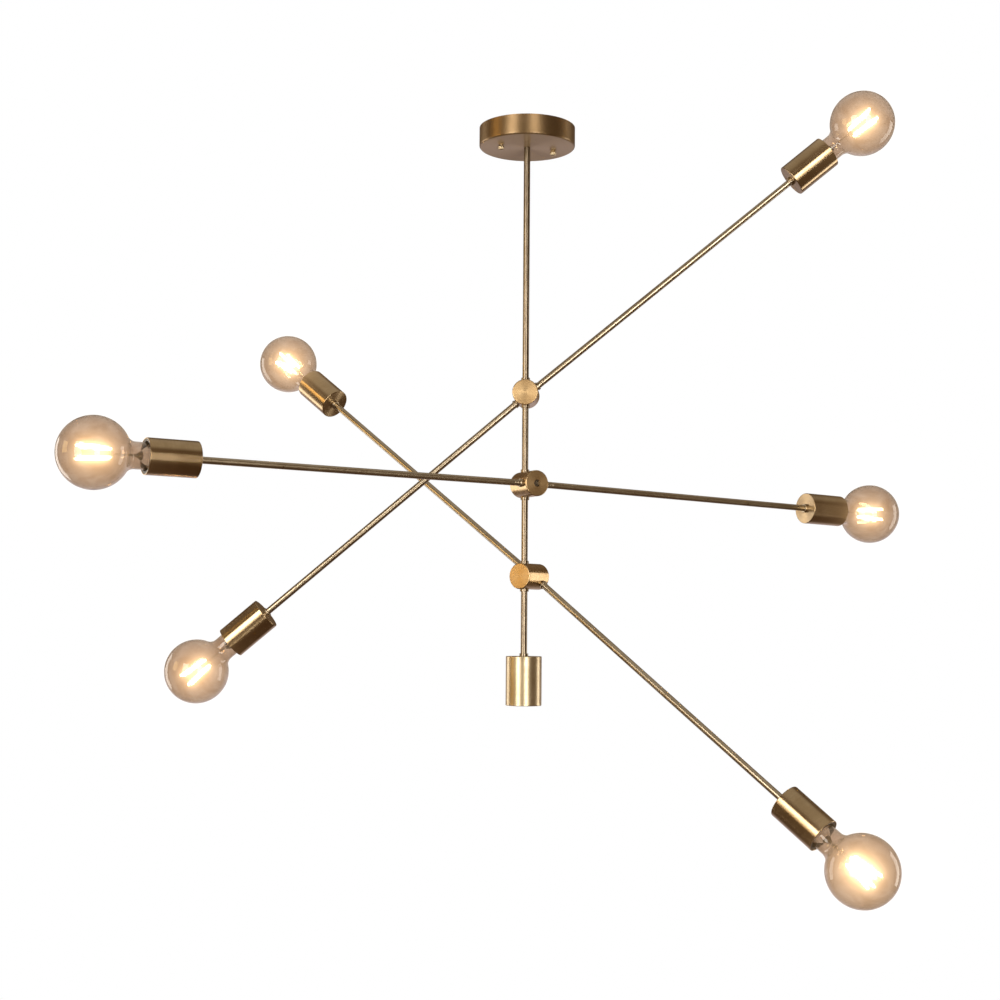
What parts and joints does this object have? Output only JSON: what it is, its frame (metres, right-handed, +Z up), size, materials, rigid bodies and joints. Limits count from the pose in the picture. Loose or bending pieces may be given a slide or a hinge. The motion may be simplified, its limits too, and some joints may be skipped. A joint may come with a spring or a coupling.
{
  "type": "multi arm chandelier",
  "caption": "Ceiling chandelier with a round canopy and a slim stem; double-ended rod arms swivel and tilt on round drums and end in metal cups with globe bulbs.",
  "frame": {"origin": "centre of the canopy on the ceiling plane, on the stem's axis", "axes": "+Z up, out of the fixture into the ceiling and along the stem; +X to the right and -Y towards the viewer as the fixture is seen from the front"},
  "size_m": [1.0233, 0.6524, 0.9653],
  "materials": {
    "antique_brass": "satin",
    "turned_brass": "satin",
    "zinc_plated_steel": "satin",
    "green_steel_screw": "satin",
    "steel_screw": "satin",
    "nylon_washer": "matte",
    "black_phenolic": "satin",
    "cable_jacket": "matte",
    "nickel_cap": "satin",
    "champagne_glass": "gloss",
    "clear_glass": "gloss",
    "led_filament": "gloss"
  },
  "bodies": {
    "ceiling_frame": {"canopy_shell": "antique_brass", "crossbar_strap": "zinc_plated_steel", "crossbar_ground_screw": "green_steel_screw", "canopy_studs": "zinc_plated_steel", "canopy_thumb_nuts": "antique_brass", "stem_lock_nuts": "zinc_plated_steel", "stem_tube_top": "antique_brass", "stem_tubes_middle": "antique_brass", "stem_tube_bottom": "antique_brass", "stem_journal_sleeves": "turned_brass", "stem_collars": "antique_brass", "stem_supply_cable": "cable_jacket", "finial_shell": "antique_brass", "finial_base_plate": "antique_brass", "finial_lock_nut": "zinc_plated_steel"},
    "upper_swivel_block": {"upper_stem_drum": "antique_brass", "upper_friction_washer": "nylon_washer", "upper_pivot_screw": "steel_screw", "upper_wave_washer": "steel_screw"},
    "upper_arm": {"upper_arm_drum": "antique_brass", "upper_arm_rods": "antique_brass", "upper_rod_nuts": "antique_brass", "upper_lamp_cups": "antique_brass", "upper_socket_bodies": "black_phenolic", "upper_socket_shells": "turned_brass", "upper_lead_wires": "cable_jacket", "upper_bulb_caps": "nickel_cap", "upper_bulb_globes": "champagne_glass", "upper_bulb_mounts": "clear_glass", "upper_led_filaments": "led_filament"},
    "middle_swivel_block": {"middle_stem_drum": "antique_brass", "middle_friction_washer": "nylon_washer", "middle_pivot_screw": "steel_screw", "middle_wave_washer": "steel_screw"},
    "middle_arm": {"middle_arm_drum": "antique_brass", "middle_arm_rods": "antique_brass", "middle_rod_nuts": "antique_brass", "middle_lamp_cups": "antique_brass", "middle_socket_bodies": "black_phenolic", "middle_socket_shells": "turned_brass", "middle_lead_wires": "cable_jacket", "middle_bulb_caps": "nickel_cap", "middle_bulb_globes": "champagne_glass", "middle_bulb_mounts": "clear_glass", "middle_led_filaments": "led_filament"},
    "lower_swivel_block": {"lower_stem_drum": "antique_brass", "lower_friction_washer": "nylon_washer", "lower_pivot_screw": "steel_screw", "lower_wave_washer": "steel_screw"},
    "lower_arm": {"lower_arm_drum": "antique_brass", "lower_arm_rods": "antique_brass", "lower_rod_nuts": "antique_brass", "lower_lamp_cups": "antique_brass", "lower_socket_bodies": "black_phenolic", "lower_socket_shells": "turned_brass", "lower_lead_wires": "cable_jacket", "lower_bulb_caps": "nickel_cap", "lower_bulb_globes": "champagne_glass", "lower_bulb_mounts": "clear_glass", "lower_led_filaments": "led_filament"}
  },
  "joints": [
    {"name": "upper_swivel", "type": "hinge", "parent": "ceiling_frame", "child": "upper_swivel_block", "pos_m": [0, 0, -0.3354], "axis": [0, 0, 1], "range_deg": [-28, 40]},
    {"name": "upper_tilt", "type": "hinge", "parent": "upper_swivel_block", "child": "upper_arm", "pos_m": [0, 0, -0.3354], "axis": [-0.0698, -0.9976, 0], "range_deg": [-89.7, 10.3]},
    {"name": "middle_swivel", "type": "hinge", "parent": "ceiling_frame", "child": "middle_swivel_block", "pos_m": [0, 0, -0.45], "axis": [0, 0, 1], "range_deg": [-40, 100]},
    {"name": "middle_tilt", "type": "hinge", "parent": "middle_swivel_block", "child": "middle_arm", "pos_m": [0, 0, -0.45], "axis": [0.4879, -0.8729, 0], "range_deg": [-48.8, 51.2]},
    {"name": "lower_swivel", "type": "hinge", "parent": "ceiling_frame", "child": "lower_swivel_block", "pos_m": [0, 0, -0.563], "axis": [0, 0, 1], "range_deg": [-100, 28]},
    {"name": "lower_tilt", "type": "hinge", "parent": "lower_swivel_block", "child": "lower_arm", "pos_m": [0, 0, -0.563], "axis": [-0.6211, -0.7837, 0], "range_deg": [-14.7, 85.3]}
  ]
}
